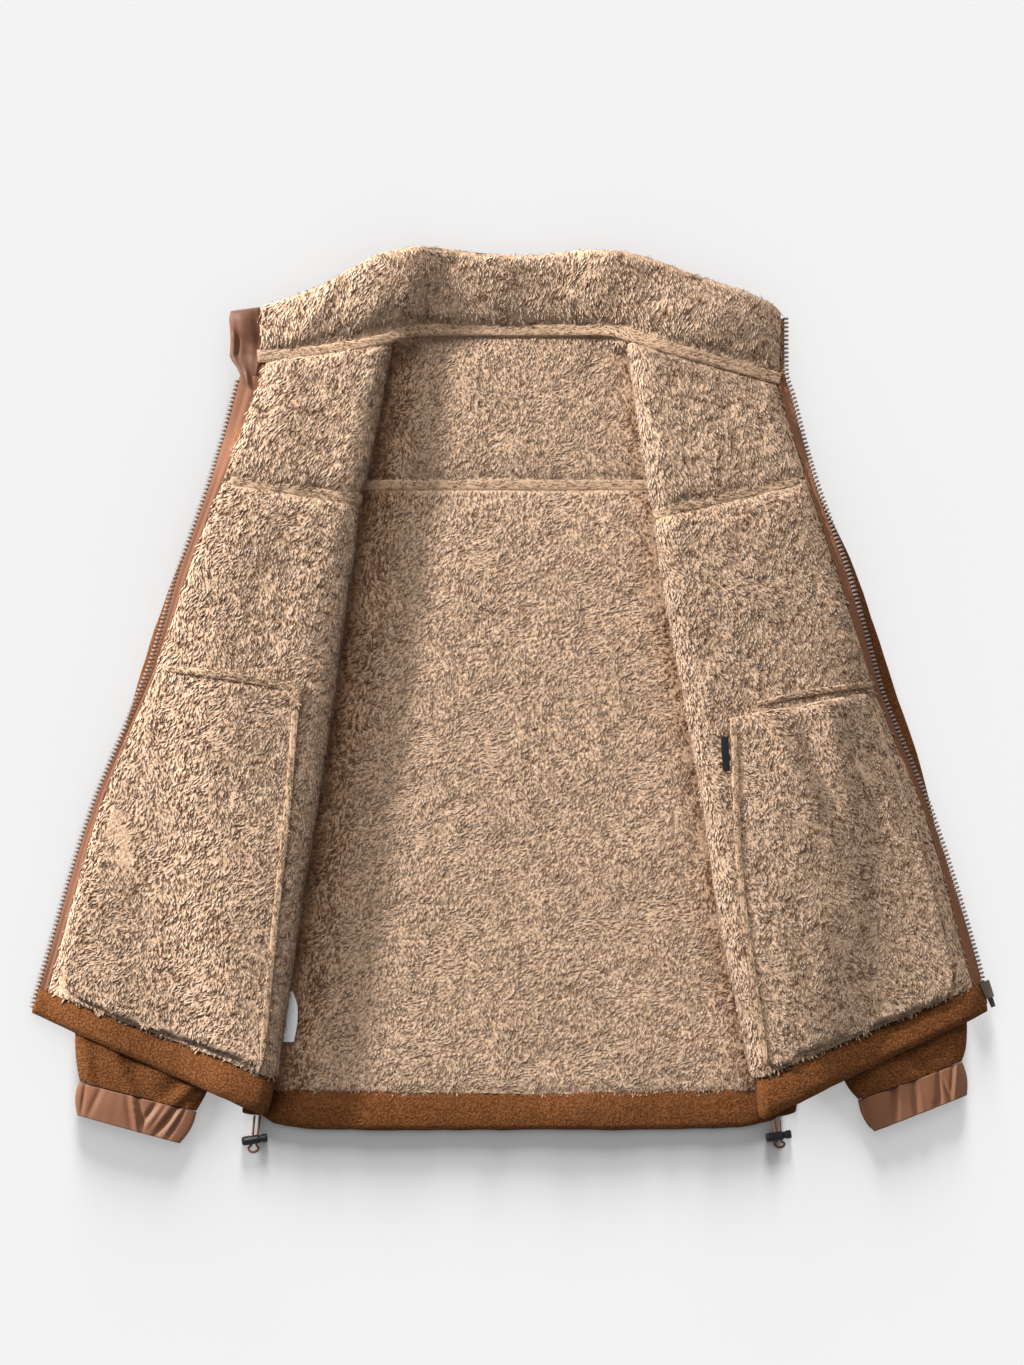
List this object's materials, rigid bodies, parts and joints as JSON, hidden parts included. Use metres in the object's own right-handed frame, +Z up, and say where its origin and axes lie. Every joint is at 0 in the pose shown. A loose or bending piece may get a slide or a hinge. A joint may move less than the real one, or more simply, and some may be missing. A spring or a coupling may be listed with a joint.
{
  "type": "fleece jacket",
  "caption": "Sherpa-lined fleece jacket laid open, lining up, with the fronts folded out over its sleeves; collar, pockets, zip, gathered cuffs and drawcord hem.",
  "frame": {"origin": "on the surface the jacket lies on, under the middle of its outline without the drawcords", "axes": "+Z up from the surface, +Y from hem to collar, +X to the viewer's right when seen from above with the collar at the top"},
  "size_m": [0.8193, 0.7691, 0.0525],
  "materials": {
    "brown_fleece": "brushed polar fleece, matt",
    "sand_sherpa": "deep sherpa pile, matt",
    "cuff_cloth": "smooth woven, slight sheen",
    "sand_tape": "flat woven tape",
    "zip_tape": "herringbone zip tape and elastic cord",
    "zip_metal": "satin brown",
    "black_plastic": "glossy",
    "white_label": "satin ribbon"
  },
  "bodies": {
    "jacket": {"shell_back": "brown_fleece", "shell_collar": "brown_fleece", "hem_back": "brown_fleece", "shell_front_left": "brown_fleece", "shell_front_right": "brown_fleece", "sleeve_left": "brown_fleece", "sleeve_right": "brown_fleece", "hem_front_left": "brown_fleece", "hem_front_right": "brown_fleece", "lining_back": "sand_sherpa", "lining_yoke": "sand_sherpa", "lining_collar": "sand_sherpa", "lining_chest_left": "sand_sherpa", "lining_chest_right": "sand_sherpa", "lining_front_left": "sand_sherpa", "lining_front_right": "sand_sherpa", "pocket_left": "sand_sherpa", "pocket_right": "sand_sherpa", "cuff_left": "cuff_cloth", "cuff_right": "cuff_cloth", "chin_guard": "cuff_cloth", "neck_tape": "sand_tape", "yoke_tape": "sand_tape", "chest_tape_left": "sand_tape", "chest_tape_right": "sand_tape", "pocket_binding_left": "sand_tape", "pocket_binding_right": "sand_tape", "zip_tape_left": "zip_tape", "zip_tape_right": "zip_tape", "drawcord_left": "zip_tape", "drawcord_right": "zip_tape", "zip_chain_left": "zip_metal", "zip_chain_right": "zip_metal", "zip_slider": "zip_metal", "cord_lock_left": "black_plastic", "cord_lock_right": "black_plastic", "side_label": "black_plastic", "care_label": "white_label"},
    "pull_tab": {"zip_pull": "zip_metal"}
  },
  "joints": [
    {"name": "pull_tab_swing", "type": "hinge", "parent": "jacket", "child": "pull_tab", "pos_m": [0.40204, -0.24943, 0.00778], "axis": [0.9336, 0.3584, 0], "range_deg": [0, 165]}
  ]
}
